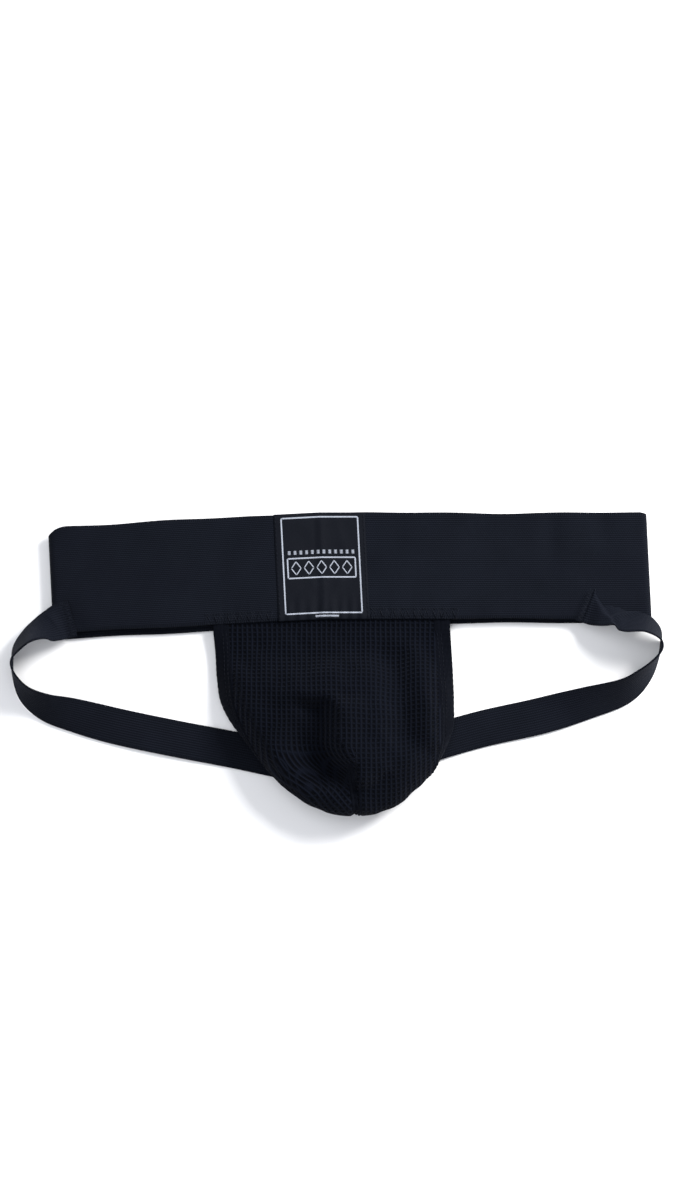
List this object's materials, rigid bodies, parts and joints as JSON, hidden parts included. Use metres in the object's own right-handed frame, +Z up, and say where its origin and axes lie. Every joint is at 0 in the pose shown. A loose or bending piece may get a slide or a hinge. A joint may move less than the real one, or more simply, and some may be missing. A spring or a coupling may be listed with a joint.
{
  "type": "athletic supporter",
  "caption": "Athletic supporter with a wide elastic waistband, a soft knitted pouch and elastic leg straps, lying flat with its front up.",
  "frame": {"origin": "middle of the underside of the waistband's back layer, on the surface that it lies on", "axes": "+X along the waistband to the viewer's right when looking at its front, +Y from the pouch towards the waistband's upper edge, +Z up out of the front of the label"},
  "size_m": [0.462, 0.2177, 0.0374],
  "materials": {
    "elastic_black": "ribbed woven elastic",
    "knit_black": "waffle knit cotton",
    "label_black": "woven damask label",
    "thread_white": "woven white yarn",
    "thread_black": "polyester sewing thread"
  },
  "bodies": {
    "waistband": {"waistband_elastic": "elastic_black", "waistband_join_stitching": "thread_black", "front_label": "label_black", "label_frame_line": "thread_white", "label_emblem": "thread_white", "label_stitching": "thread_black", "label_bar_tack": "thread_white", "pouch_seam_zigzag": "thread_black", "pouch_top_hem": "knit_black", "left_strap_stitching": "thread_black", "right_strap_stitching": "thread_black"},
    "pouch": {"pouch_panel": "knit_black", "pouch_left_hem": "knit_black", "pouch_right_hem": "knit_black", "pouch_hem_stitching": "thread_black", "pouch_dart_seam": "knit_black", "crotch_tape": "elastic_black", "strap_join_stitching": "thread_black"},
    "left_strap": {"left_leg_strap": "elastic_black"},
    "right_strap": {"right_leg_strap": "elastic_black"}
  },
  "joints": [
    {"name": "pouch_fold", "type": "hinge", "parent": "waistband", "child": "pouch", "pos_m": [-0.013, -0.04154, 0.00708], "axis": [-1, 0, 0], "range_deg": [0, 80], "deforming": ["left_leg_strap", "right_leg_strap"]},
    {"name": "left_strap_swing", "type": "hinge", "parent": "pouch", "child": "left_strap", "pos_m": [-0.2265, -0.047, 0.012], "axis": [-0.9192, 0.3915, 0.0424], "range_deg": [0, 70], "deforming": ["left_leg_strap"]},
    {"name": "right_strap_swing", "type": "hinge", "parent": "pouch", "child": "right_strap", "pos_m": [0.215, -0.0445, 0.012], "axis": [-0.9014, -0.4305, -0.0462], "range_deg": [0, 70], "deforming": ["right_leg_strap"]}
  ]
}
